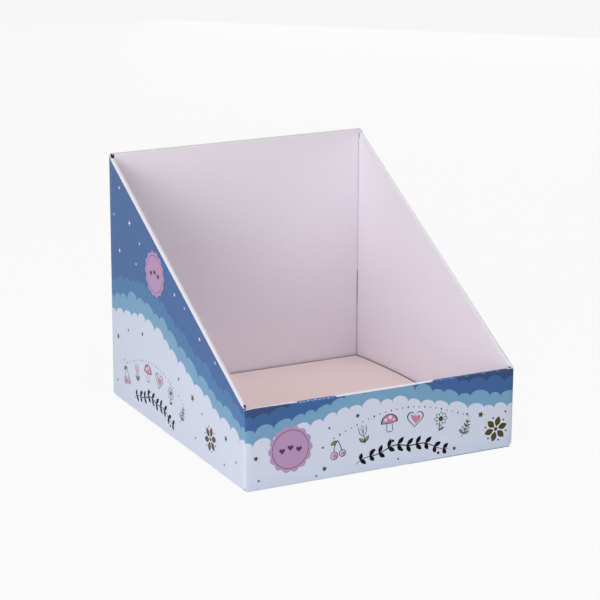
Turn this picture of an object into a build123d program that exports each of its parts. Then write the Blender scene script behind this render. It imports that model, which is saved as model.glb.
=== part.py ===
from build123d import *
import os
from math import atan, cos

# Counter display box: a sleeve of thin corrugated board with four rolled double walls,
# a low front, a high back and sloped sides, closed underneath by four interlocked
# flaps, and a loose arched pad as its floor. Millimetres, +Z up, front towards -Y,
# origin at the middle of the base on the surface that the box stands on.

# Outside size
width = 300.0
depth = 330.0
back_height = 267.2
front_height = 83.5
side_drop = 2.0             # the sloped edges end this far below the back's top

# Board and its folds
board = 1.5                 # thickness of the folded sheet
fold_inner_radius = 0.7     # of the upright and bottom folds
band_radius = 1.3           # outside radius along both edges of a rolled top
band_inner_radius = 0.5     # the same inside the roll
flap_play = 0.1             # room beside the glue flap inside the double back wall

# Ends of the rolled edges and of the inner layers. The back's rolled edge runs from fold
# to fold, the sides' end against it, and the front's is shorter.
roll_clearance = 0.3        # from a side's rolled edge to the back's, and to the front fold
left_corner_hole = 4.0      # the same at the front left corner, which is folded looser
front_corner_hole = 2.9     # from the ends of the front's rolled edge to the sides
roll_depth = 5.0            # a rolled edge reaches this far down, to its inner layer
inner_layer_clearance = 0.3 # from an inner layer's ends to what stands beside them
foot_clearance = 0.3        # under the inner layers of the walls

# Glued upright seam at the rear right corner
glue_flap = 32.0
glue_flap_inset = 14.0      # top and bottom ends of the glue flap, cut back
seam_reveal = 0.4

# Interlocked bottom flaps
layer_gap = 0.3             # between two flaps that lie on each other
flap_side_clearance = 3.0   # from a flap's side to the outer face beside it
corner_cut = 72.0           # length of the cut corner, along the hinge
shoulder_drop = 46.0        # slope of a flap's edge outside its hook
hook_width = 66.0
hook_reach = 27.0           # past the middle of the box
hook_chamfer = 12.0
meeting_gap = 2.0           # where the flaps meet and at the slit between the hooks
ramp_length = 8.0           # a hook climbs on to the other flap over this length
hook_landing = 4.0          # from the top of that ramp to the other flap's edge
side_flap_length = 78.0
side_flap_shoulder = 24.0   # straight part of a side flap's rear edge
side_flap_taper = 40.0      # the rest of it slopes by this much
glue_patch_margin = 7.0

# Floor pad
pad_board = 3.0
pad_bow = 7.5               # rise at its middle
pad_clearance = 2.0         # to the inner face of each side
pad_end_clearance = 2.2     # to the inner faces of the front and back
pad_seat = 0.2              # to the flaps it lies on

# Worked out from the above
half_width = width / 2
half_depth = depth / 2
fold_radius = board + fold_inner_radius
wall_gap = board + flap_play
wall_span = 2 * board + wall_gap
side_roll_front = half_depth - fold_radius - roll_clearance
side_roll_back = half_depth - wall_span - roll_clearance
side_layer_end = half_depth - fold_radius - inner_layer_clearance
end_layer_end = half_width - wall_span - inner_layer_clearance
side_back_height = back_height - side_drop
side_middle_height = (front_height + side_back_height) / 2
side_rise = (side_back_height - front_height) / depth
upper_layer = board + layer_gap
upper_layer_top = upper_layer + board
foot = upper_layer_top + foot_clearance
up = Vector(0, 0, 1)


def prism(plane, points, thickness):
    """Board drawn on a plane, as thick as stated behind it."""
    sketch = plane * Polygon(*points, align=None)
    return extrude(sketch, amount=thickness, dir=-plane.z_dir)


def outer_face(x, y, along):
    """Plane on a wall's outer face, x along the wall, y up and z outwards."""
    return Plane(origin=(x, y, 0), x_dir=along, z_dir=Vector(*along).cross(up))


def round_top(block, radius):
    """Rounds the two long edges of a block's top face."""
    top = block.faces().sort_by(Axis.Z)[-1]
    return fillet(top.edges().sort_by(SortBy.LENGTH)[-2:], radius)


def rolled_wall(plane, base, panel, roll, layer, height, slope=0.0):
    """A wall with its top rolled over, in one sheet: outer panel, rolled edge and inner
    layer, each from one end to the other."""
    tilt = 1 / cos(atan(slope))

    def top(u, lowered=0.0):
        return (u, height + slope * u - lowered * tilt)

    def strip(ends, low, high):
        start, end = ends
        return [top(start, low), top(end, low), top(end, high), top(start, high)]

    outer = prism(plane, [(panel[0], base), (panel[1], base), top(panel[1]), top(panel[0])],
                  board)
    outer -= prism(plane, strip(roll, board, -board), board)

    edge = round_top(prism(plane, strip(roll, roll_depth, 0), wall_span), band_radius)
    past_ends = (roll[0] - board, roll[1] + board)
    room = prism(plane.offset(-board), strip(past_ends, 2 * roll_depth, board), wall_gap)
    edge -= round_top(room, band_inner_radius)

    inner = prism(plane.offset(-board - wall_gap),
                  [(layer[0], foot), (layer[1], foot), top(layer[1], roll_depth),
                   top(layer[0], roll_depth)], board)
    return outer + edge + inner


def front_wall():
    plane = outer_face(0, -half_depth, (1, 0, 0))
    fold_start = half_width - fold_radius
    roll = half_width - wall_span - front_corner_hole
    return rolled_wall(plane, fold_radius, (-fold_start, fold_start), (-roll, roll),
                       (-end_layer_end, end_layer_end), front_height)


def back_wall():
    """Drawn from behind: its free edge covers the glued seam on the left of that view."""
    plane = outer_face(0, half_depth, (-1, 0, 0))
    fold_start = half_width - fold_radius
    edge = -half_width + seam_reveal
    wall = rolled_wall(plane, fold_radius, (edge, fold_start), (-fold_start, fold_start),
                       (-end_layer_end, end_layer_end), back_height)
    beside_roll = [(edge, side_back_height), (-fold_start, side_back_height),
                   (-fold_start, back_height), (edge, back_height)]
    return wall - prism(plane, beside_roll, board)


def right_wall():
    """It stops one board short of the back, inside which its glue flap lies."""
    plane = outer_face(half_width, 0, (0, 1, 0))
    return rolled_wall(plane, upper_layer + fold_radius,
                       (-half_depth + fold_radius, half_depth - board - fold_radius),
                       (-side_roll_front, side_roll_back),
                       (-side_layer_end, side_layer_end - board),
                       side_middle_height, side_rise)


def left_wall():
    plane = outer_face(-half_width, 0, (0, -1, 0))
    fold_start = half_depth - fold_radius
    return rolled_wall(plane, upper_layer + fold_radius, (-fold_start, fold_start),
                       (-side_roll_back, fold_start - left_corner_hole),
                       (-side_layer_end, side_layer_end), side_middle_height, -side_rise)


def fold(plane, length, sign_x, sign_y):
    """A quarter turn of the board round the plane's origin, extruded along its normal."""
    ring = Circle(fold_radius) - Circle(fold_radius - board)
    corner = Rectangle(fold_radius, fold_radius, align=Align.MIN)
    corner = corner.mirror(Plane.YZ) if sign_x < 0 else corner
    corner = corner.mirror(Plane.XZ) if sign_y < 0 else corner
    return extrude(plane * (ring & corner), amount=length, dir=plane.z_dir)


def upright_fold(sign_x, sign_y, top, seam=0.0):
    """The rounded corner that joins two walls."""
    base = upper_layer + fold_radius
    centre = (sign_x * (half_width - fold_radius),
              sign_y * (half_depth - fold_radius - seam), base)
    return fold(Plane(centre), top - base, sign_x, sign_y)


def seam_flap():
    """The flap of the right wall that is glued inside the back wall."""
    plane = outer_face(0, half_depth - board, (-1, 0, 0))
    hinge = -half_width + fold_radius
    low, high = upper_layer + fold_radius, side_back_height
    outline = [(hinge, low), (hinge + glue_flap, low + glue_flap_inset),
               (hinge + glue_flap, high - glue_flap_inset), (hinge, high)]
    return prism(plane, outline, board)


def long_flap():
    """The bottom flap hinged to the front wall, with the hook that climbs over the other."""
    hinge_x = half_width - flap_side_clearance
    hinge_y = -half_depth + fold_radius
    gap = meeting_gap / 2
    ramp_start = -gap - hook_landing - ramp_length
    outline = [(-hinge_x, hinge_y), (hinge_x, hinge_y),
               (hinge_x - corner_cut, hinge_y + corner_cut), (hinge_x - corner_cut, -gap),
               (-gap, -gap), (-gap, ramp_start), (-gap - hook_width, ramp_start),
               (-hinge_x, ramp_start - shoulder_drop)]
    flat = prism(Plane((0, 0, board)), outline, board)

    ramp_end = ramp_start + ramp_length
    side = [(ramp_start, 0), (ramp_end, upper_layer), (hook_reach, upper_layer),
            (hook_reach, upper_layer_top), (ramp_end, upper_layer_top),
            (ramp_start, board)]
    hook = prism(Plane((-gap, 0, 0), x_dir=(0, 1, 0), z_dir=(1, 0, 0)), side, hook_width)
    tip = hook.edges().filter_by(Axis.Z).group_by(Axis.Y)[-1]
    hook = chamfer(tip, hook_chamfer)

    bend = Plane((-hinge_x, hinge_y, fold_radius), x_dir=(0, 1, 0), z_dir=(1, 0, 0))
    return flat + hook + fold(bend, 2 * hinge_x, -1, -1)


def side_flap():
    """The bottom flap hinged to the left wall, on top of the front's, with its glue patch."""
    hinge_x = -half_width + fold_radius
    hinge_y = half_depth - flap_side_clearance - fold_radius
    inner = hinge_x + side_flap_length
    glue_end = -hinge_y + side_flap_length / 2
    outline = [(hinge_x, -hinge_y), (inner - glue_patch_margin, -hinge_y),
               (inner, glue_end), (inner, hinge_y - side_flap_taper),
               (hinge_x + side_flap_shoulder, hinge_y), (hinge_x, hinge_y)]
    flat = prism(Plane((0, 0, upper_layer_top)), outline, board)

    edge = glue_patch_margin
    patch = [(hinge_x + 2 * edge, -hinge_y + edge), (inner - 2 * edge, -hinge_y + edge),
             (inner - edge, glue_end)]
    glue = prism(Plane((0, 0, upper_layer)), patch, layer_gap)

    bend = Plane((hinge_x, hinge_y, upper_layer + fold_radius),
                 x_dir=(1, 0, 0), z_dir=(0, -1, 0))
    return flat + glue + fold(bend, 2 * hinge_y, -1, -1)


def folded_body():
    walls = front_wall() + back_wall() + left_wall() + right_wall()
    corners = upright_fold(-1, -1, front_height) + upright_fold(1, -1, front_height)
    corners += upright_fold(-1, 1, side_back_height)
    corners += upright_fold(1, 1, side_back_height, seam=board)
    flaps = long_flap() + side_flap()
    flaps += flaps.rotate(Axis.Z, 180)
    return (walls + corners + seam_flap() + flaps).clean()


def floor_pad():
    """A loose rectangle of thicker board, arched from front to back."""
    reach = half_depth - wall_span - pad_end_clearance
    breadth = width - 2 * (wall_span + pad_clearance)
    seat = upper_layer_top + pad_seat
    under = ThreePointArc((-reach, seat), (0, seat + pad_bow), (reach, seat))
    over = ThreePointArc((-reach, seat + pad_board), (0, seat + pad_bow + pad_board),
                         (reach, seat + pad_board))
    ends = [Line(under @ 0, over @ 0), Line(under @ 1, over @ 1)]
    outline = make_face(Curve() + [under, over] + ends)
    plane = Plane((-breadth / 2, 0, 0), x_dir=(0, 1, 0), z_dir=(1, 0, 0))
    return extrude(plane * outline, amount=breadth, dir=plane.z_dir)


os.makedirs("parts", exist_ok=True)
for name, shape in {"folded_body": folded_body(), "floor_pad": floor_pad()}.items():
    export_step(shape, f"parts/{name}.step")
    print(name, len(shape.solids()), "solid", round(shape.volume), "mm3")
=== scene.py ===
import random
from math import atan, ceil, cos, hypot, pi, radians, sin

import bpy
from mathutils import Matrix, Vector
from mathutils.geometry import delaunay_2d_cdt


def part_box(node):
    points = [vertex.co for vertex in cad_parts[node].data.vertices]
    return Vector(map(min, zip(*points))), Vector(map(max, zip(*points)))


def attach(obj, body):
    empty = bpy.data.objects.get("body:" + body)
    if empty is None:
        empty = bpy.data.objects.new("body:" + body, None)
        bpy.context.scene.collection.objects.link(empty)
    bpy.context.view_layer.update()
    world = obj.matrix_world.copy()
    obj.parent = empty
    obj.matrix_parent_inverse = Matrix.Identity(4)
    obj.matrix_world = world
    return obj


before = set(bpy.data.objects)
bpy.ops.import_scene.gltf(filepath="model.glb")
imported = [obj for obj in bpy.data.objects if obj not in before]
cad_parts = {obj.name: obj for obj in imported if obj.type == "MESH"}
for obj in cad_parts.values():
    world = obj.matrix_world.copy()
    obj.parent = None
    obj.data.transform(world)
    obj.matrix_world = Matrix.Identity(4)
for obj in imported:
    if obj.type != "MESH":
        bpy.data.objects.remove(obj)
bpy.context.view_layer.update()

# Counter display box of printed micro-flute board. The board is the CAD's folded_body and
# floor_pad. The print lies over it: one flat artwork for each wall, in millimetres, cut into
# fields of ink and wrapped round the folds.

mm = 0.001
up = Vector((0, 0, 1))
low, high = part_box("folded_body")

carton = {
    "width": (high.x - low.x) / mm,
    "depth": (high.y - low.y) / mm,
    "backTop": high.z / mm,
    "frontTop": 83.5,
    "sideDrop": 2.0,                                 # the sloped edges end below the back's top
    "board": 1.5,
    "foldRadius": 2.2,
    "bandRadius": 1.3,                               # outer rounding of the rolled top edges
    "wallSpan": 4.6,                                 # both layers and the space between them
    "sideBase": 1.8,                                 # the side flaps hinge one layer up
    "flapInset": 3.0,                                # bottom flaps stop short of the corners
    "frontRoll": 7.5,                                # where the rolled edges start, from the corner
    "backRoll": 2.2,
    "sideRollBack": 4.9,
    "leftRollFront": 6.2,
    "rightRollFront": 2.5,
    "flapTop": 3.3,                                  # upper face of the bottom flaps
    "padEnd": 6.5,                                   # top of the floor pad, at its front and back
    "padRise": 7.5,
    "padReach": 158.2,
    "seamReveal": 0.4,
    "flutePitch": 3.2,
}
sideTop = carton["backTop"] - carton["sideDrop"]
sideRise = (sideTop - carton["frontTop"]) / carton["depth"]
foldRadius = carton["foldRadius"]
bandRadius = carton["bandRadius"]
bandArc = bandRadius * pi / 2                        # length of print that the outer rounding takes
bandFlat = carton["wallSpan"] - 2 * bandRadius
halfWidth, halfDepth = carton["width"] / 2, carton["depth"] / 2


class Wire:                                          # a node's output, so shader maths reads as maths
    def __init__(self, tree, socket=None):
        self.tree = tree
        self.socket = socket

    def node(self, kind, settings=(), sockets=(), out=0):
        made = self.tree.nodes.new("ShaderNode" + kind)
        for name, value in dict(settings).items():
            setattr(made, name, value)
        for name, value in dict(sockets).items():
            if isinstance(value, Wire):
                self.tree.links.new(value.socket, made.inputs[name])
            else:
                made.inputs[name].default_value = value
        return Wire(self.tree, made.outputs[out] if made.outputs else None)

    def maths(self, operation, first, second):
        return self.node("Math", {"operation": operation}, {0: first, 1: second})

    def mix(self, first, second):                    # self is the mask between two colours
        return self.node("Mix", {"data_type": "RGBA"}, {0: self, 6: first, 7: second}, out=2)

    def __add__(self, other):
        return self.maths("ADD", self, other)

    def __sub__(self, other):
        return self.maths("SUBTRACT", self, other)

    def __rsub__(self, other):
        return self.maths("SUBTRACT", other, self)

    def __mul__(self, other):
        return self.maths("MULTIPLY", self, other)

    def __gt__(self, other):
        return self.maths("GREATER_THAN", self, other)

    def __lt__(self, other):
        return self.maths("LESS_THAN", self, other)

    def __or__(self, other):
        return self.maths("MAXIMUM", self, other)

    def __abs__(self):
        return self.node("Math", {"operation": "ABSOLUTE"}, {0: self})

    __radd__ = __add__
    __rmul__ = __mul__


def srgb(red, green, blue):                          # 0 to 255 on screen, to the shader's linear colour
    linear = []
    for value in (red, green, blue):
        share = value / 255
        linear.append(share / 12.92 if share <= 0.04045 else ((share + 0.055) / 1.055) ** 2.4)
    return (*linear, 1.0)


def newMaterial(name):
    material = bpy.data.materials.new(name)
    material.use_nodes = True
    material.node_tree.nodes.clear()
    return material, Wire(material.node_tree)


paperFinish = {
    "mottleScale": 9.0,                              # cloudy tone, features per metre
    "fibreScale": 420.0,
    "grain": 0.000010,                               # height of the paper's grain, metres
    "washboard": 0.000006,                           # height of the flutes showing through
    "glossByFibre": 0.12,
    "glossByCloud": 0.08,
    "coatRoughness": 0.35,
}
bead = {"from": 1.9 * mm, "to": 4.6 * mm, "bend": 150.0}    # the left rolled edge falls away inwards


def beadDrop(depth):                                 # depth is measured in from the wall's outer face
    past = depth.maths("MINIMUM", depth, bead["to"]) - bead["from"]
    past = past | 0.0
    return past * past * bead["bend"]


def shareAt(z, span):                                # a share that changes smoothly over a span of height
    start, stop, before, after = span
    return z.node("MapRange", {"interpolation_type": "SMOOTHSTEP"},
                  {"Value": z, "From Min": start * mm, "From Max": stop * mm,
                   "To Min": before, "To Max": after})


def boardSurface(name, colour, tint, mottle, fibre, rough, coat=0.0, metallic=0.0, fade=None, bareAndShade=(),
                 beaded=False, shine=0.30):
    material, wire = newMaterial(name)
    place = wire.node("TexCoord", out=3)
    facing = wire.node("NewGeometry", out=1)
    x, y, z = [wire.node("SeparateXYZ", (), {0: place}, out=k) for k in range(3)]
    faceX, faceY, faceUp = [wire.node("SeparateXYZ", (), {0: facing}, out=k) for k in range(3)]
    cloudy = wire.node("TexNoise", (), {"Vector": place, "Scale": paperFinish["mottleScale"],
                                        "Detail": 3.0, "Roughness": 0.6})
    fibres = wire.node("TexNoise", (), {"Vector": place, "Scale": paperFinish["fibreScale"],
                                        "Detail": 2.0, "Roughness": 0.7})
    toned = cloudy.mix(colour, tint)
    if fade:                                         # a second tone near the base of the printed walls
        toned = (shareAt(z, fade["span"]) * abs(faceY)).mix(toned, fade["colour"])
    shade = 1 + (cloudy - 0.5) * mottle + (fibres - 0.5) * fibre
    for patchColour, where in bareAndShade:                          # the sheet's brown reverse and cut edges, and painted shade in holes, joints and on the rear roll's top
        toned = where(x, y, z, faceUp).mix(toned, patchColour)
    base = wire.node("VectorMath", {"operation": "SCALE"}, {0: toned, "Scale": shade})

    travel = (x * abs(faceY) + y * abs(faceX)) * (2 * pi / (carton["flutePitch"] * mm))
    ridges = wire.node("Math", {"operation": "SINE"}, {0: travel})
    relief = ridges * paperFinish["washboard"] + fibres * paperFinish["grain"]
    if beaded:
        relief -= beadDrop(x + halfWidth * mm)
    bump = wire.node("Bump", (), {"Height": relief, "Distance": 1.0, "Strength": 1.0})

    gloss = (rough + (fibres - 0.5) * paperFinish["glossByFibre"]
             + (cloudy - 0.5) * paperFinish["glossByCloud"])
    shader = wire.node("BsdfPrincipled", (), {
        "Base Color": base, "Roughness": gloss, "Metallic": metallic, "Normal": bump,
        "Coat Weight": coat, "Coat Roughness": paperFinish["coatRoughness"],
        "Specular IOR Level": shine})
    wire.node("OutputMaterial", (), {"Surface": shader})
    return material


linerLook = {"colour": srgb(237, 231, 239), "tint": srgb(234, 229, 239), "mottle": 0.05,
             "fibre": 0.05, "rough": 0.62}
padLook = {"colour": srgb(227, 206, 204), "tint": srgb(222, 203, 202), "mottle": 0.08,
           "fibre": 0.10, "rough": 0.78}
kraft = srgb(92, 72, 62)
# brown reverse of the board, darkened to near black as painted shade in the holes
hollowKraftAndShade = srgb(34, 26, 32)
# painted shade for the top of the rear roll
paintedCrownShade = srgb(212, 204, 212)
# painted shade for the narrow joints by the pad and low in the rear corners
paintedGapShade = srgb(132, 107, 109)

# limits of the bare board patches and of the painted shade
boardPatches = {
    "side": 0.3,                                     # a face turned up less than this is a side
    "crown": 0.4,                                    # and more than this is a rolled edge's top
    "skin": 0.15 * mm,
    "rightLayer": 2.3 * mm,                          # the outer layer at the tight right corners
    "leftLayer": 1.8 * mm,                           # and at the rear left, where it stays white
    # the painted shade in the holes is lighter at the right corners
    "rightShadeShare": 0.7,
    "overFoot": 20.0 * mm,
    "flapEdge": 4.4 * mm,
}
innerX = (halfWidth - carton["wallSpan"]) * mm       # the double walls' inner faces
innerY = (halfDepth - carton["wallSpan"]) * mm
# where the painted shade of the rear seams lies
rearSeam = {
    "alongBack": 0.9 * mm,                           # its width on either wall
    "alongSide": 0.7 * mm,
    "top": (108.0, 104.0, 0.12, 0.90),               # heights from and to, shares from and to
    "foot": (78.0, 62.0, 1.0, 0.50),
}


def depthsIn(x, y):                                  # how far in from the walls' outer faces
    return [halfWidth * mm - abs(x), halfDepth * mm - abs(y)]


def kraftAndShadeInHollows(x, y, z, faceUp):                    # painted shade: the holes between two rolled edges get the board's brown reverse, darkened to near black
    within = depthsIn(x, y)
    skin = boardPatches["skin"]
    inWall = [(depth > skin) * (depth < carton["wallSpan"] * mm - skin) for depth in within]
    closed = (x > 0.0) * ((y > 0.0) | (within[0] < boardPatches["rightLayer"]))
    closed = closed | (y > 0.0) * (within[0] < boardPatches["leftLayer"])
    share = 1 - (x > 0.0) * (1 - boardPatches["rightShadeShare"])
    return ((abs(faceUp) < boardPatches["side"]) * (inWall[0] | inWall[1]) * (1 - closed) * share
            * (z > boardPatches["overFoot"]))


def backCrownShade(x, y, z, faceUp):                      # painted shade: the rear roll's top is coloured duller than the liner
    return (faceUp > boardPatches["crown"]) * (y > innerY) * (z > 0.2)


def bottomFlaps(x, y, z, faceUp):
    within = depthsIn(x, y)
    inner = (within[0] > boardPatches["flapEdge"]) * (within[1] > boardPatches["flapEdge"])
    flapTop = carton["flapTop"] * mm + boardPatches["skin"]
    return (z < flapTop) * (faceUp > boardPatches["side"]) * inner


def onInnerFace(x, y, faceUp):
    slack = 0.1 * mm
    return (abs(faceUp) < boardPatches["side"]) * (abs(x) < innerX + slack) * (abs(y) < innerY + slack)


def shadeBesidePad(x, y, z, faceUp):                      # painted shade on the walls' feet, in the narrow joint round the pad
    share = y * (1 / (carton["padReach"] * mm))
    padTop = carton["padEnd"] * mm + (1 - share * share) * (carton["padRise"] * mm)
    return onInnerFace(x, y, faceUp) * (z < padTop - 0.1 * mm)


def rearSeamShade(x, y, z, faceUp):                      # painted shade, low in the rear corners, where the inner layers part
    near = (abs(x) > innerX - rearSeam["alongBack"]) * (y > innerY - rearSeam["alongSide"])
    seamShadeRamp = shareAt(z, rearSeam["top"]) * shareAt(z, rearSeam["foot"])
    return onInnerFace(x, y, faceUp) * near * seamShadeRamp


def cutSides(x, y, z, faceUp):
    return abs(faceUp) < boardPatches["side"]


skyFade = {"span": (18.0, 0.0, 0.0, 0.4), "colour": srgb(200, 215, 238)}

# Every ink, as it looks on this paper: colour, second tone, gloss
inks = {
    "paper": (srgb(215, 220, 239), srgb(217, 222, 240), 0.45),
    "night": (srgb(60, 83, 127), srgb(57, 79, 122), 0.42),
    "dusk": (srgb(69, 105, 160), srgb(66, 101, 156), 0.42),
    "sky": (srgb(78, 125, 174), srgb(75, 122, 171), 0.42),
    "haze": (srgb(124, 168, 200), srgb(121, 165, 198), 0.42),
    "rose": (srgb(187, 151, 190), srgb(184, 148, 188), 0.42),
    "plum": (srgb(92, 60, 92), srgb(88, 57, 89), 0.42),
    "blush": (srgb(203, 136, 160), srgb(198, 130, 156), 0.42),
    "moss": (srgb(138, 156, 92), srgb(132, 150, 87), 0.42),
    "char": (srgb(10, 10, 16), srgb(7, 7, 12), 0.45),
    "slate": (srgb(106, 108, 132), srgb(100, 102, 128), 0.42),
    "gold": (srgb(84, 72, 32), srgb(76, 64, 28), 0.40),
    "spark": (srgb(236, 241, 250), srgb(232, 238, 249), 0.42),
}


inkFinish = {"mottle": 0.03, "fibre": 0.05, "coat": 0.03, "shine": 0.13, "darkShine": 0.08,
             "goldMetal": 0.35, "dark": ("char", "plum", "slate")}


def inkMaterial(name):
    colour, tint, rough = inks[name]
    dark = name in inkFinish["dark"]
    return boardSurface("ink_" + name, colour, tint, inkFinish["mottle"], inkFinish["fibre"], rough,
                        coat=0.0 if dark else inkFinish["coat"],
                        metallic=inkFinish["goldMetal"] if name == "gold" else 0.0,
                        shine=inkFinish["darkShine"] if dark else inkFinish["shine"],
                        fade=skyFade if name == "paper" else None)


inkOrder = list(inks)
inkMaterials = [inkMaterial(name) for name in inkOrder]
# the liner carries painted shade in its holes, joints and on the rear roll's top
liner = boardSurface("liner_paper", **linerLook, beaded=True,
                     bareAndShade=[(kraft, bottomFlaps), (paintedCrownShade, backCrownShade), (hollowKraftAndShade, kraftAndShadeInHollows),
                          (paintedGapShade, rearSeamShade), (paintedGapShade, shadeBesidePad)])
padPaper = boardSurface("pad_paper", **padLook, bareAndShade=[(kraft, cutSides)])
print("materials:", len(bpy.data.materials))


# Flat shapes, as rings of points in millimetres
def disc(x, z, radius, points):
    turns = [2 * pi * k / points for k in range(points)]
    return [(x + radius * cos(t), z + radius * sin(t)) for t in turns]


def star(x, z, radius, points, waist, lean=0.0):
    ring = []
    for k in range(2 * points):
        reach = radius if k % 2 == 0 else radius * waist
        turn = radians(90 + lean) + pi * k / points
        ring.append((x + reach * cos(turn), z + reach * sin(turn)))
    return ring


def rosette(x, z, radius, lobes, depth, points=120):
    ring = []
    for k in range(points):
        turn = 2 * pi * k / points
        reach = radius * (1 - depth + depth * abs(cos(lobes * turn / 2)))
        ring.append((x + reach * cos(turn), z + reach * sin(turn)))
    return ring


def placed(ring, x, z, degrees=0.0, size=1.0):
    turn = radians(degrees)
    return [(x + size * (px * cos(turn) - pz * sin(turn)),
             z + size * (px * sin(turn) + pz * cos(turn))) for px, pz in ring]


def leaf(x, z, length, width, degrees, points=9):
    upper = [(length * k / points, width / 2 * sin(pi * k / points)) for k in range(points + 1)]
    lower = [(px, -pz) for px, pz in reversed(upper[1:-1])]
    return placed(upper + lower, x, z, degrees)


def heart(x, z, size, points=28):
    ring = []
    for k in range(points):
        t = 2 * pi * k / points
        wide = 16 * sin(t) ** 3
        tall = 13 * cos(t) - 5 * cos(2 * t) - 2 * cos(3 * t) - cos(4 * t)
        ring.append((x + size * wide / 32, z + size * tall / 32))
    return ring


def inset(ring, amount):                             # each point moves in along its corner's bisector
    area = sum(a[0] * b[1] - b[0] * a[1] for a, b in zip(ring, ring[1:] + ring[:1]))
    turn = 1 if area > 0 else -1
    moved = []
    for before, here, after in zip(ring[-1:] + ring[:-1], ring, ring[1:] + ring[:1]):
        dx, dz = after[0] - before[0], after[1] - before[1]
        size = hypot(dx, dz) or 1.0
        moved.append((here[0] - turn * amount * dz / size, here[1] + turn * amount * dx / size))
    return moved


def stroke(path, width, taper=0.0):                  # a line of some width, narrower at its ends if asked
    left, right = [], []
    last = len(path) - 1
    for k, (x, z) in enumerate(path):
        ahead = path[min(k + 1, last)]
        behind = path[max(k - 1, 0)]
        dx, dz = ahead[0] - behind[0], ahead[1] - behind[1]
        size = hypot(dx, dz) or 1.0
        half = width / 2 * (1 - taper * abs(2 * k / last - 1) ** 2)
        left.append((x - half * dz / size, z + half * dx / size))
        right.append((x + half * dz / size, z - half * dx / size))
    return left + right[::-1]


def curve(start, bend, stop, points=10):             # one quadratic bend between two points
    path = []
    for k in range(points + 1):
        t = k / points
        a, b, c = (1 - t) ** 2, 2 * t * (1 - t), t * t
        path.append((a * start[0] + b * bend[0] + c * stop[0],
                     a * start[1] + b * bend[1] + c * stop[1]))
    return path


def ringLine(x, z, radius, width, gap):              # a circle drawn as two half rings, open by gap
    halves = []
    for begin in (0.0, 180.0):
        turns = [radians(begin + gap + (180 - 2 * gap) * k / 24) for k in range(25)]
        halves.append(stroke([(x + radius * cos(t), z + radius * sin(t)) for t in turns], width))
    return halves


def heightAt(heights, a):
    for (a0, z0), (a1, z1) in zip(heights, heights[1:]):
        if a <= a1:
            share = (a - a0) / (a1 - a0)
            smooth = share * share * (3 - 2 * share)
            return z0 + (z1 - z0) * smooth
    return heights[-1][1]


hump = {"rise": (0.26, 0.42), "steps": 9}            # height over width


def cloudLine(heights, widths, seed):                # a row of round humps that follows the heights
    rng = random.Random(seed)
    start, stop = heights[0][0], heights[-1][0]
    knots = [start]
    while knots[-1] < stop:
        knots.append(knots[-1] + rng.uniform(*widths))
    stretch = (stop - start) / (knots[-1] - start)
    knots = [start + (k - start) * stretch for k in knots]
    line = []
    for a0, a1 in zip(knots, knots[1:]):
        rise = rng.uniform(*hump["rise"]) * (a1 - a0)
        z0, z1 = heightAt(heights, a0), heightAt(heights, a1)
        for k in range(hump["steps"]):
            turn = pi * k / hump["steps"]
            share = (1 - cos(turn)) / 2
            line.append((a0 + (a1 - a0) * share, z0 + (z1 - z0) * share + rise * sin(turn)))
    line.append((stop, heights[-1][1]))
    return line


def under(line, floor=-10.0):                        # the field below a line
    return [(line[0][0], floor), *line, (line[-1][0], floor)][::-1]


# Each wall seen from outside: a runs along it from its left corner, z up. The seam at the rear
# right corner is under the back wall's edge, so the right wall ends one board short.
def wall(start, along, out, length, top, rise, roll, base, flapGap, cornerTops, seam=None):
    short = carton["board"] if seam == "under" else 0.0
    return {"start": Vector((*start, 0)), "along": Vector((*along, 0)), "out": Vector((*out, 0)),
            "length": length, "top": top, "rise": rise, "roll": roll, "base": base,
            "flapGap": flapGap, "cornerTops": cornerTops, "seam": seam, "short": short,
            "lastFold": length - foldRadius - short}


frontTop, backTop = carton["frontTop"], carton["backTop"]
flapInset, sideInset = carton["flapInset"], carton["flapInset"] + foldRadius
frontRolls = (carton["frontRoll"], carton["frontRoll"])
backRolls = (carton["backRoll"], carton["backRoll"])
leftRolls = (carton["sideRollBack"], carton["leftRollFront"])
rightRolls = (carton["rightRollFront"], carton["sideRollBack"])
walls = {
    "front": wall((-halfWidth, -halfDepth), (1, 0), (0, -1), carton["width"], frontTop, 0.0,
                  frontRolls, 0.0, flapInset, (frontTop, frontTop)),
    "left": wall((-halfWidth, halfDepth), (0, -1), (-1, 0), carton["depth"], sideTop, -sideRise,
                 leftRolls, carton["sideBase"], sideInset, (sideTop, frontTop)),
    "right": wall((halfWidth, -halfDepth), (0, 1), (1, 0), carton["depth"], frontTop, sideRise,
                  rightRolls, carton["sideBase"], sideInset, (frontTop, sideTop), "under"),
    "back": wall((halfWidth, halfDepth), (-1, 0), (0, 1), carton["width"], backTop, 0.0,
                 backRolls, 0.0, flapInset, (sideTop, sideTop), "over"),
}
tuckedShare = 0.85                                   # how far the right wall's print turns under the back
inkLift = 0.05                                       # the print stands this far off the board
softFold = {"reach": 9.0, "lean": 0.20, "steps": 4}  # beside an upright fold the wall bulges a little


def leanAt(side, a):                                 # how far the surface faces past the wall's direction
    lean = 0.0
    for fromFold, sign in ((a - foldRadius, -1), (side["lastFold"] - a, 1)):
        if fromFold >= softFold["reach"] or (side["seam"] == "over" and sign < 0):
            continue
        if fromFold < 0:
            share = min(-fromFold / foldRadius, 1.0)
            lean = sign * (softFold["lean"] + (pi / 4 - softFold["lean"]) * share)
        else:
            lean = sign * softFold["lean"] * (1 - fromFold / softFold["reach"]) ** 2
    return lean


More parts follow.
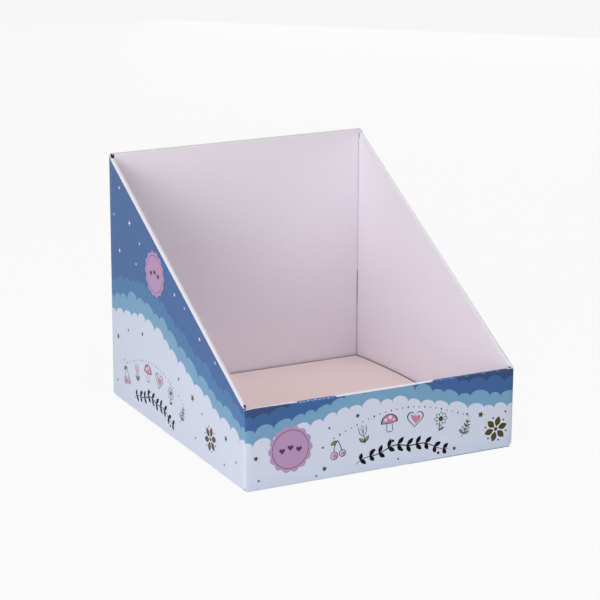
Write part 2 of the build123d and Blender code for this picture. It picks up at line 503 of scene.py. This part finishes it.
def wrapped(side, a, z, rolled):                     # a point of the flat print, to its place and normal
    along, out = side["along"], side["out"]
    lean = leanAt(side, a)
    outward = out * cos(lean) + along * sin(lean)
    slope = atan(side["rise"])
    past = (z - side["top"] - side["rise"] * a) * cos(slope) + bandRadius
    if rolled and past > 0:
        climb = along * -sin(slope) + up * cos(slope)
        foot = side["start"] + along * (a + past * sin(slope)) + up * (z - past * cos(slope))
        turn = min(past, bandArc) / bandRadius
        flat = max(past - bandArc, 0.0)
        spot = foot + climb * bandRadius * sin(turn) - out * (bandRadius * (1 - cos(turn)) + flat)
        return spot, outward * cos(turn) + climb * sin(turn)
    spot = side["start"] + along * a + up * z
    facing = outward
    lastFold = side["lastFold"]
    if a < foldRadius and side["seam"] != "over":
        turn = pi / 4 * (1 - a / foldRadius)
        spot = side["start"] + along * foldRadius - out * foldRadius + up * z
        spot += (out * cos(turn) - along * sin(turn)) * foldRadius
    elif a > lastFold:
        turn = pi / 4 * (a - lastFold) / foldRadius
        spot = side["start"] + along * lastFold - out * foldRadius + up * z
        spot += (out * cos(turn) + along * sin(turn)) * foldRadius
    elif z < side["base"] + foldRadius:
        turn = pi / 2 * (side["base"] + foldRadius - z) / foldRadius
        spot = side["start"] + along * a - out * foldRadius + up * (side["base"] + foldRadius)
        facing = out * cos(turn) - up * sin(turn)
        spot += facing * foldRadius
    return spot, facing


def counterClockwise(ring):
    area = sum(p[0] * q[1] - q[0] * p[1] for p, q in zip(ring, ring[1:] + ring[:1]))
    return list(ring) if area > 0 else list(ring)[::-1]


def cutFields(outline, artwork, creases):            # the topmost ink of every field inside the outline
    points, faces, edges = [], [], []
    for ring in [outline, *[shape for shape, ink in artwork]]:
        ring = counterClockwise(ring)
        faces.append(list(range(len(points), len(points) + len(ring))))
        points += ring
    for start, stop in creases:
        edges.append((len(points), len(points) + 1))
        points += [start, stop]
    flat = [Vector(point) for point in points]
    spots, _, cuts, _, _, source = delaunay_2d_cdt(flat, edges, faces, 0, 1e-5, True)
    fields = []
    for cut, covers in zip(cuts, source):
        if 0 in covers and max(covers) > 0:
            fields.append((cut, artwork[max(covers) - 1][1]))
    return spots, fields


def regions(side):                                   # outlines of the print, and whether each rolls over
    length, base, gap = side["length"], side["base"], side["flapGap"]
    foot = carton["sideBase"] + foldRadius           # the upright folds end here
    start = carton["seamReveal"] if side["seam"] == "over" else 0.0
    stop = length - side["short"] + side["short"] * tuckedShare
    firstTop, lastTop = side["cornerTops"]

    def top(a, past=0.0):
        return side["top"] + side["rise"] * a + past

    over = bandArc + bandFlat - bandRadius
    first, last = side["roll"][0], length - side["roll"][1]
    nearFold, farFold = foldRadius, side["lastFold"]
    flapStart, flapStop = max(gap, first), min(length - gap, last)
    middle = [(first, foot), (flapStart, foot), (flapStart, base), (flapStop, base), (flapStop, foot),
              (last, foot), (last, top(last, over)), (first, top(first, over))]
    left = [(nearFold, firstTop), (start, firstTop), (start, foot)]
    right = [(stop, foot), (stop, lastTop), (farFold, lastTop)]
    if first > nearFold + 0.01:                      # unrolled board between the fold and the rolled edge
        left = [(first, top(first)), (nearFold, top(nearFold)), *left]
    if last < farFold - 0.01:
        right += [(farFold, top(farFold)), (last, top(last))]
    if gap < first:                                  # where a flap's fold reaches under the corner
        left += [(gap, foot), (gap, base), (first, base)]
    else:
        left += [(first, foot)]
    if length - gap > last:
        right = [(last, base), (length - gap, base), (length - gap, foot), *right]
    else:
        right = [(last, foot), *right]
    return [(middle, True), (left, False), (right, False)]


def creasesOf(side):                                 # lines along which the flat print bends
    length, top, rise, short = side["length"], side["top"], side["rise"], side["short"]
    reach, beyond, steps = 400.0, 20.0, 4
    lines = []
    for k in range(1, softFold["steps"] + 1):
        bulge = foldRadius + softFold["reach"] * k / softFold["steps"]
        lines += [((a, 0.0), (a, reach)) for a in (bulge, length - short - bulge)]
    for k in range(steps + 1):
        near = foldRadius * k / steps
        far = length - short - near + (2 * near if short else 0.0)
        lines += [((near, 0.0), (near, reach)), ((far, 0.0), (far, reach))]
        z = side["base"] + near
        lines.append(((0.0, z), (length, z)))
        past = (bandArc * k / steps - bandRadius) / cos(atan(rise))
        lines.append(((-beyond, top - beyond * rise + past),
                      (length + beyond, top + rise * (length + beyond) + past)))
    return lines


def printPiece(name, side, artwork):
    spots, facings, faces, paints = [], [], [], []
    creases = creasesOf(side)
    for outline, rolled in regions(side):
        points, fields = cutFields(outline, artwork, creases)
        places = {}                                  # only the corners that some field uses
        for cut, ink in fields:
            if ink is None:
                continue
            for k in cut:
                if k not in places:
                    places[k] = len(spots)
                    spot, facing = wrapped(side, points[k].x, points[k].y, rolled)
                    spots.append((spot + facing * inkLift) * mm)
                    facings.append(facing)
            faces.append([places[k] for k in cut])
            paints.append(inkOrder.index(ink))
    mesh = bpy.data.meshes.new(name)
    mesh.from_pydata(spots, [], faces)
    used = sorted(set(paints))
    for index in used:
        mesh.materials.append(inkMaterials[index])
    for face, paint in zip(mesh.polygons, paints):
        face.material_index = used.index(paint)
        face.use_smooth = True
    mesh.normals_split_custom_set_from_vertices(facings)
    piece = bpy.data.objects.new(name, mesh)
    bpy.context.scene.collection.objects.link(piece)
    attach(piece, "root")
    print("print:", name, len(faces), "fields")


# Six small pictures, each drawn round its own middle
def tulip():
    cup = [(-4.6, 8.5), (-2.3, 5.2), (0, 9.2), (2.3, 5.2), (4.6, 8.5), (4.4, 1.8), (2.2, -1.6),
           (0, -2.4), (-2.2, -1.6), (-4.4, 1.8)]
    return [(stroke(curve((0, -2), (0.6, -6), (0, -10)), 1.0), "char"),
            (leaf(0, -9.4, 8.5, 3.6, 48), "char"), (leaf(0.7, -8.4, 6.6, 1.9, 48), "moss"),
            (leaf(0, -9.4, 8.5, 3.6, 132), "char"), (leaf(-0.7, -8.4, 6.6, 1.9, 132), "moss"),
            (cup, "char"), (inset(cup, 0.8), "paper"),
            (leaf(0, -1.0, 7.0, 3.4, 90), "blush")]


def bigHeart():
    return [(heart(0, 0.5, 19), "char"), (heart(0, 0.5, 16.6), "paper"),
            (heart(0.9, 0.0, 10.5), "blush"), (leaf(-5.4, 2.0, 4.2, 1.1, 62), "plum")]


def mushroom():
    cap = [(9.5 * cos(pi * k / 14), 1.0 + 8.6 * sin(pi * k / 14)) for k in range(15)]
    cap = [(-9.5, 0.2), *cap[::-1], (9.5, 0.2), (0, -0.8)]
    stem = [(-3.0, 0.5), (3.0, 0.5), (3.9, -7.6), (2.4, -9.4), (-2.4, -9.4), (-3.9, -7.6)]
    return [(stem, "char"), (inset(stem, 0.8), "paper"), (cap, "char"),
            (placed(cap, 0, 0.55, 0, 0.85), "blush"),
            (disc(-4.0, 4.0, 1.7, 14), "paper"), (disc(1.2, 5.8, 2.0, 14), "paper"),
            (disc(5.0, 2.7, 1.2, 12), "paper")]


def daisy():
    shapes = [(stroke(curve((0, 0), (-1.2, -6), (0.6, -10.5)), 1.0), "char"),
              (leaf(0.2, -9.5, 6.5, 3.0, 35), "char"), (leaf(0.9, -8.9, 4.9, 1.5, 35), "moss")]
    petals = 8
    for k in range(petals):
        turn = 360 * k / petals + 10
        shapes.append((leaf(0, 2.4, 8.0, 4.2, turn), "char"))
    for k in range(petals):
        turn = 360 * k / petals + 10
        shapes.append((placed(leaf(1.2, 0, 6.1, 2.7, 0), 0, 2.4, turn), "paper"))
    return shapes + [(disc(0, 2.4, 2.5, 18), "char"), (disc(0, 2.4, 1.7, 16), "gold")]


def cherries():
    shapes = [(stroke(curve((-4.2, -3), (-2.5, 5), (3.5, 8.6)), 0.9), "char"),
              (stroke(curve((4.2, -4.5), (5.2, 2), (3.5, 8.6)), 0.9), "char"),
              (leaf(3.2, 8.3, 8.6, 4.2, 188), "char"), (leaf(2.2, 8.1, 6.4, 2.4, 188), "moss")]
    for x, z, size in ((-4.6, -5.0, 4.3), (4.4, -6.2, 3.8)):
        shapes += [(disc(x, z, size, 24), "char"), (disc(x, z, size - 0.8, 24), "paper"),
                   (disc(x + 0.5, z - 0.5, size - 1.5, 20), "blush")]
    return shapes


def fern():
    stalk = curve((-2.0, -10), (1.5, -1), (0, 9.5))
    shapes = [(stroke(stalk, 0.9, 0.4), "char")]
    for k in range(4):
        x, z = stalk[2 * k + 2]
        size = 7.4 - 1.1 * k
        for degrees in (32 + 5 * k, 148 - 5 * k):
            shapes += [(leaf(x, z, size, size * 0.42, degrees), "char"),
                       (placed(leaf(0.9, 0, size - 1.9, size * 0.42 - 1.3, 0), x, z, degrees),
                        "moss" if k % 2 == 0 else "paper")]
    return shapes


garland = {"length": 104.0, "arch": 12.0, "sway": 1.4, "waves": 3.0, "stem": 1.3, "leaf": 10.5,
           "leafWidth": 4.6, "pairs": 10, "berry": 1.5, "berryLift": 5.2}


def leafGarland(x, z):                               # a leafy spray that bends up in its middle
    half = garland["length"] / 2

    def spot(share):
        along = share * garland["length"] - half
        wave = garland["sway"] * sin(2 * pi * garland["waves"] * share)
        return x + along, z + garland["arch"] * sin(pi * share) + wave

    shapes = [(stroke([spot(k / 60) for k in range(61)], garland["stem"], 0.6), "char")]
    for k in range(garland["pairs"]):
        share = (k + 0.5) / garland["pairs"]
        a, b = spot(share), spot(share + 0.01)
        lean = 57.3 * atan((b[1] - a[1]) / (b[0] - a[0]))
        size = garland["leaf"] * (0.72 + 0.28 * sin(pi * share))
        shapes.append((leaf(*a, size, garland["leafWidth"], lean + 52), "char"))
        shapes.append((leaf(*a, size * 0.86, garland["leafWidth"], lean - 48), "char"))
        berry = spot(share + 0.5 / garland["pairs"])
        if k < garland["pairs"] - 1:
            lift = garland["berryLift"] * (1 if k % 2 else -1)
            shapes.append((disc(berry[0], berry[1] + lift, garland["berry"], 14), "char"))
    return shapes


arch = {"step": 29.0, "rise": 26.0, "lean": 7.0, "overSpray": 12.0, "dots": 25, "dotSpan": 158.0,
        "dotRise": 21.0, "dotLift": 17.5, "dot": 0.75, "lozenge": 1.7}


def pictureArch(x, z):                               # six small pictures in an arch over the spray
    shapes = leafGarland(x, z - arch["overSpray"])
    pictures = [cherries(), tulip(), mushroom(), bigHeart(), daisy(), fern()]
    for k, picture in enumerate(pictures):
        share = (k + 0.5) / len(pictures)
        centre = x + (k - 2.5) * arch["step"]
        height = z + arch["rise"] * sin(pi * share)
        tilt = arch["lean"] * (2.5 - k)
        for ring, ink in picture:
            shapes.append((placed(ring, centre, height, tilt), ink))
    for k in range(arch["dots"]):                    # a fine arch of dots and lozenges over them
        share = (k + 0.5) / arch["dots"]
        mark = x + (share - 0.5) * arch["dotSpan"]
        height = z + arch["dotLift"] + arch["dotRise"] * sin(pi * share)
        if k % 3 == 1:
            shapes.append((star(mark, height, arch["lozenge"], 2, 0.5), "char" if k % 2 else "slate"))
        else:
            shapes.append((disc(mark, height, arch["dot"], 10), "slate"))
    return shapes


badge = {"radius": 24.0, "lobes": 14, "depth": 0.10, "ring": 19.5, "ringWidth": 0.6, "ringGap": 2.0,
         "heart": 6.4, "heartStep": 9.0, "heartLift": (-0.8, 1.6, -0.8)}


def roundBadge(x, z):
    shapes = [(rosette(x, z, badge["radius"], badge["lobes"], badge["depth"]), "rose")]
    ring = ringLine(x, z, badge["ring"], badge["ringWidth"], badge["ringGap"])
    shapes += [(half, "plum") for half in ring]
    for k, lift in enumerate(badge["heartLift"]):
        shapes.append((heart(x + (k - 1) * badge["heartStep"], z + lift, badge["heart"]), "plum"))
    return shapes


flower = {"petals": 6, "petal": (11.0, 6.6), "start": 2.6, "lean": 15, "beads": 12.4, "bead": 1.1,
          "eye": 2.0}


def goldFlower(x, z):
    shapes = []
    step = 360 // flower["petals"]
    for k in range(flower["petals"]):
        petal = leaf(flower["start"], 0, *flower["petal"], 0)
        shapes.append((placed(petal, x, z, step * k + flower["lean"]), "gold"))
        turn = radians(step * k + flower["lean"] + step / 2)
        shapes.append((disc(x + flower["beads"] * cos(turn), z + flower["beads"] * sin(turn),
                            flower["bead"], 10), "gold"))
    return shapes + [(disc(x, z, flower["eye"], 18), "gold")]


def wavering(points, step, amount, seed):            # an edge that isn't quite straight
    rng = random.Random(seed)
    line = []
    for (a0, z0), (a1, z1) in zip(points, points[1:]):
        count = max(1, ceil((a1 - a0) / step))
        for k in range(count):
            share = k / count
            height = z0 + (z1 - z0) * share + rng.uniform(-amount, amount)
            line.append((a0 + (a1 - a0) * share, height))
    return line + [points[-1]]


def bareRoll(side, bleed, seed):                     # above the bleed the rolled edge shows bare paper
    slope = cos(atan(side["rise"]))
    line = []
    for a, past in wavering(bleed, 5.0, 0.12, seed):
        line.append((a, side["top"] + side["rise"] * a + (past - bandRadius) / slope))
    roof = max(z for a, z in line) + 60.0
    return [*line, (line[-1][0], roof), (line[0][0], roof)], None


def crack(side, a, past, length, width):             # where the ink has broken along a rolled edge
    z = side["top"] + side["rise"] * a + past - bandRadius
    return leaf(a, z, length, width, 0)


def wholeWall(side):
    length, roof = side["length"], backTop + 60.0
    return [(-20.0, -10.0), (length + 20.0, -10.0), (length + 20.0, roof), (-20.0, roof)]


def cloudTiers(tiers, seed):                         # darkest first, each tier over the one before it
    return [(under(cloudLine(heights, widths, seed + k)), ink)
            for k, (ink, heights, widths) in enumerate(tiers)]


frontArt = {
    "base": "night",
    "tiers": [
        ("dusk", [(-6, 70), (30, 74), (70, 84), (115, 92), (165, 93), (205, 86), (245, 75), (306, 68)],
         (12, 22)),
        ("haze", [(-6, 57), (30, 60), (70, 69), (115, 80), (165, 81), (205, 72), (245, 61), (306, 54)],
         (12, 24)),
        ("paper", [(-6, 44), (30, 46), (70, 56), (115, 67), (165, 68), (205, 59), (245, 48), (306, 42)],
         (12, 24))],
    "bleed": [(-20, 2.2), (8, 2.2), (30, 1.8), (56, 1.3), (58, 3.9), (97, 3.9), (99, 0.5), (205, 0.4),
              (208, 3.9), (320, 4.0)],
    "cracks": [(58, 1.0, 3.6, 0.5), (62, 0.7, 3.0, 0.5), (66, 1.2, 4.0, 0.6), (71, 0.8, 2.4, 0.4),
               (74, 1.0, 4.2, 0.6), (79, 0.6, 3.0, 0.5), (83, 1.1, 3.4, 0.5), (88, 0.8, 4.0, 0.6),
               (93, 1.1, 3.2, 0.5), (214, 0.9, 3.0, 0.3), (226, 1.0, 4.2, 0.3), (243, 0.8, 3.4, 0.3),
               (262, 1.0, 4.0, 0.3), (279, 0.9, 3.0, 0.3)],
    "pictures": (172.0, 22.0), "badge": (49.0, 37.0), "gold": (280.0, 22.0),
    "specks": [(12, 33, 1.9), (15, 10, 1.1), (86, 11, 2.0), (91, 52, 1.1), (84, 33, 1.1), (122, 60, 1.8),
               (168, 8, 1.0), (232, 9, 1.7), (246, 43, 1.1), (262, 40, 2.4), (291, 39, 1.1), (77, 5, 1.0)],
    "seed": 11}
leftArt = {
    "base": "dusk",
    "tiers": [
        ("sky", [(-6, 126), (36, 136), (84, 144), (130, 136), (180, 118), (230, 100), (280, 86),
                 (336, 74)], (12, 24)),
        ("haze", [(-6, 108), (36, 117), (84, 125), (130, 118), (180, 101), (230, 84), (280, 71),
                  (336, 60)], (14, 28)),
        ("paper", [(-6, 92), (36, 100), (84, 107), (130, 101), (180, 84), (230, 69), (280, 56),
                   (336, 46)], (13, 26))],
    "bleed": [(-20, 0.9), (350, 0.9)],
    "pictures": (112.0, 28.0), "badge": (118.0, 165.0), "gold": (252.0, 30.0),
    "specks": [(18, 72, 2.4), (46, 86, 1.4), (210, 60, 2.8), (14, 22, 1.3), (216, 20, 1.2),
               (288, 42, 2.4), (284, 14, 1.2), (176, 70, 1.6), (311, 25, 1.3), (84, 92, 2.0),
               (232, 50, 1.1), (34, 50, 1.1)],
    "sparkles": [(26, 168, 1.9), (54, 204, 2.3), (28, 236, 1.6), (80, 188, 1.5), (70, 164, 1.3),
                 (168, 156, 1.7), (192, 148, 1.4), (228, 126, 1.8), (12, 204, 1.3), (264, 112, 1.4)],
    "seed": 31}
rightArt = {
    "base": "dusk",
    "tiers": [
        ("sky", [(-6, 70), (40, 88), (90, 110), (140, 128), (190, 128), (250, 140), (300, 150),
                 (336, 146)], (14, 26)),
        ("haze", [(-6, 56), (30, 70), (75, 90), (125, 108), (180, 110), (240, 122), (300, 130),
                  (336, 128)], (15, 30)),
        ("paper", [(-6, 43), (30, 54), (70, 72), (120, 90), (180, 93), (240, 105), (300, 111),
                   (336, 112)], (16, 34))],
    "bleed": [(-20, 2.1), (60, 2.0), (110, 1.7), (140, 0.9), (350, 0.9)],
    "specks": [(32, 32, 2.6), (70, 24, 1.3), (96, 58, 1.4), (142, 44, 2.4), (188, 72, 1.2), (214, 30, 2.6),
               (262, 66, 2.0), (300, 40, 1.2), (310, 86, 2.6)],
    "sparkles": [(150, 158, 1.9), (206, 170, 2.3), (250, 190, 1.5), (284, 176, 1.9), (306, 222, 1.6)],
    "seed": 51}
backArt = {
    "base": "dusk",
    "tiers": [
        ("sky", [(-6, 146), (50, 138), (110, 148), (170, 140), (230, 138), (306, 126)], (14, 26)),
        ("haze", [(-6, 128), (60, 120), (120, 130), (180, 121), (240, 117), (306, 108)], (15, 30)),
        ("paper", [(-6, 112), (50, 103), (110, 113), (170, 104), (230, 100), (306, 92)], (16, 34))],
    "bleed": [(-20, 0.9), (350, 0.9)],
    "specks": [(34, 72, 2.6), (74, 36, 1.3), (118, 78, 1.4), (160, 48, 2.4), (206, 76, 2.8), (246, 34, 1.3),
               (276, 66, 2.0)],
    "sparkles": [(40, 214, 1.9), (84, 182, 2.3), (128, 232, 1.5), (176, 196, 2.0), (226, 226, 1.6),
                 (262, 186, 1.9)],
    "seed": 71}
baseLine = {"from": 150.0, "to": 297.0, "height": 1.7}      # blue edge along the front's foot
marks = {"speck": 1.25, "sparkle": 1.5}              # sizes of the gold specks and white sparkles
smallSpeck = 1.25


def speck(a, z, size):                               # tiny blossoms of gold, or dots where small
    if size < smallSpeck:
        return disc(a, z, size * 0.8, 12)
    return rosette(a, z, size, 5, 0.45, 40)


def wallArt(side, art):
    shapes = [(wholeWall(side), art["base"])]
    shapes += cloudTiers(art["tiers"], art["seed"])
    if "badge" in art:
        shapes += roundBadge(*art["badge"])
    if "gold" in art:
        shapes += goldFlower(*art["gold"])
    shapes += [(speck(a, z, marks["speck"] * size), "gold") for a, z, size in art["specks"]]
    shapes += [(star(a, z, marks["sparkle"] * size, 4, 0.4, 10 * k), "spark")
               for k, (a, z, size) in enumerate(art.get("sparkles", []))]
    if "pictures" in art:
        shapes += pictureArch(*art["pictures"])
    if art is frontArt:
        a0, a1, z = baseLine.values()
        shapes.append(([(a0, -5.0), (a1, -5.0), (a1, z), (a0 + 30.0, z * 0.8)], "dusk"))
    shapes += [(crack(side, *spot), None) for spot in art.get("cracks", [])]
    return shapes + [bareRoll(side, art["bleed"], art["seed"] + 9)]


printPiece("print_front", walls["front"], wallArt(walls["front"], frontArt))
printPiece("print_left", walls["left"], wallArt(walls["left"], leftArt))
printPiece("print_right", walls["right"], wallArt(walls["right"], rightArt))
printPiece("print_back", walls["back"], wallArt(walls["back"], backArt))

for name, material in (("folded_body", liner), ("floor_pad", padPaper)):
    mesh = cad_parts[name].data
    mesh.materials.clear()
    mesh.materials.append(material)
print("CAD pieces dressed")


# Floor, light and camera
studio = {
    "floorSize": 14.0,
    "floorDrop": 0.0004,                             # it lies this far under the box
    "floorTone": (0.80, 0.80, 0.80, 1.0),
    "backdrop": 0.956,                               # what the camera sees round the object
    "floorGlow": 0.978,
    "shadowShare": 0.06,                             # how much of the floor's own shading stays
    "ambient": 0.07,
    "lamps": {"key": (60, 15, 42.0), "overhead": (45, 80, 27.0),    # degrees left, degrees up, watts
              "fill": (-30, 40, 12.0), "rear": (-140, 15, 16.0)},
    "lampDistance": 2.4,
    "lampSize": 1.8,
    "lampAim": 0.1,                                  # height of the point that they face
}


white = (1.0, 1.0, 1.0, 1.0)


def seenDirectly(wire):                              # camera, mirror and glass rays
    path = wire.node("LightPath")
    camera, mirror, glass = [Wire(wire.tree, path.socket.node.outputs[name])
                             for name in ("Is Camera Ray", "Is Glossy Ray", "Is Transmission Ray")]
    return camera | mirror | glass


def makeFloor():
    material, wire = newMaterial("studio_floor")
    matte = wire.node("BsdfDiffuse", (), {"Color": studio["floorTone"]})
    glow = wire.node("Emission", (), {"Color": white, "Strength": studio["floorGlow"]})
    mask = seenDirectly(wire) * (1 - studio["shadowShare"])
    mixed = wire.node("MixShader", (), {0: mask, 1: matte, 2: glow})
    wire.node("OutputMaterial", (), {"Surface": mixed})
    bpy.ops.mesh.primitive_plane_add(size=studio["floorSize"])
    floor = bpy.context.object
    floor.name = "studio_floor"
    floor.location.z = -studio["floorDrop"]
    floor.data.materials.append(material)


def makeLight():
    world = bpy.data.worlds.new("studio")
    world.use_nodes = True
    world.node_tree.nodes.clear()
    wire = Wire(world.node_tree)
    ambient = wire.node("Background", (), {"Color": white, "Strength": studio["ambient"]})
    backdrop = wire.node("Background", (), {"Color": white, "Strength": studio["backdrop"]})
    mixed = wire.node("MixShader", (), {0: seenDirectly(wire), 1: ambient, 2: backdrop})
    wire.node("OutputWorld", (), {"Surface": mixed})
    bpy.context.scene.world = world
    for name, (left, rise, watts) in studio["lamps"].items():
        data = bpy.data.lights.new(name, "AREA")
        data.size = studio["lampSize"]
        data.energy = watts
        lamp = bpy.data.objects.new(name, data)
        flat = cos(radians(rise))
        direction = Vector((-flat * sin(radians(left)), -flat * cos(radians(left)), sin(radians(rise))))
        lamp.location = direction * studio["lampDistance"]
        aim = up * studio["lampAim"] - lamp.location
        lamp.rotation_euler = aim.to_track_quat("-Z", "Y").to_euler()
        bpy.context.scene.collection.objects.link(lamp)


view = {
    "from": (-1.0389, -2.0388, 0.79184),
    "at": (-0.0079, 0.0, 0.1319),
    "roll": 0.2045,                                  # degrees, about the line of sight
    "lens": 138.59,
    "sensor": 36.0,
}


def makeCamera():
    data = bpy.data.cameras.new("photo_view")
    data.lens = view["lens"]
    data.sensor_width = view["sensor"]
    camera = bpy.data.objects.new("photo_view", data)
    place = Vector(view["from"])
    aim = (Vector(view["at"]) - place).to_track_quat("-Z", "Y").to_matrix().to_4x4()
    roll = Matrix.Rotation(radians(view["roll"]), 4, "Z")
    camera.matrix_world = Matrix.Translation(place) @ aim @ roll
    bpy.context.scene.collection.objects.link(camera)
    bpy.context.scene.camera = camera


makeFloor()
makeLight()
makeCamera()
bpy.context.scene.view_settings.view_transform = "Standard"
print("studio ready")
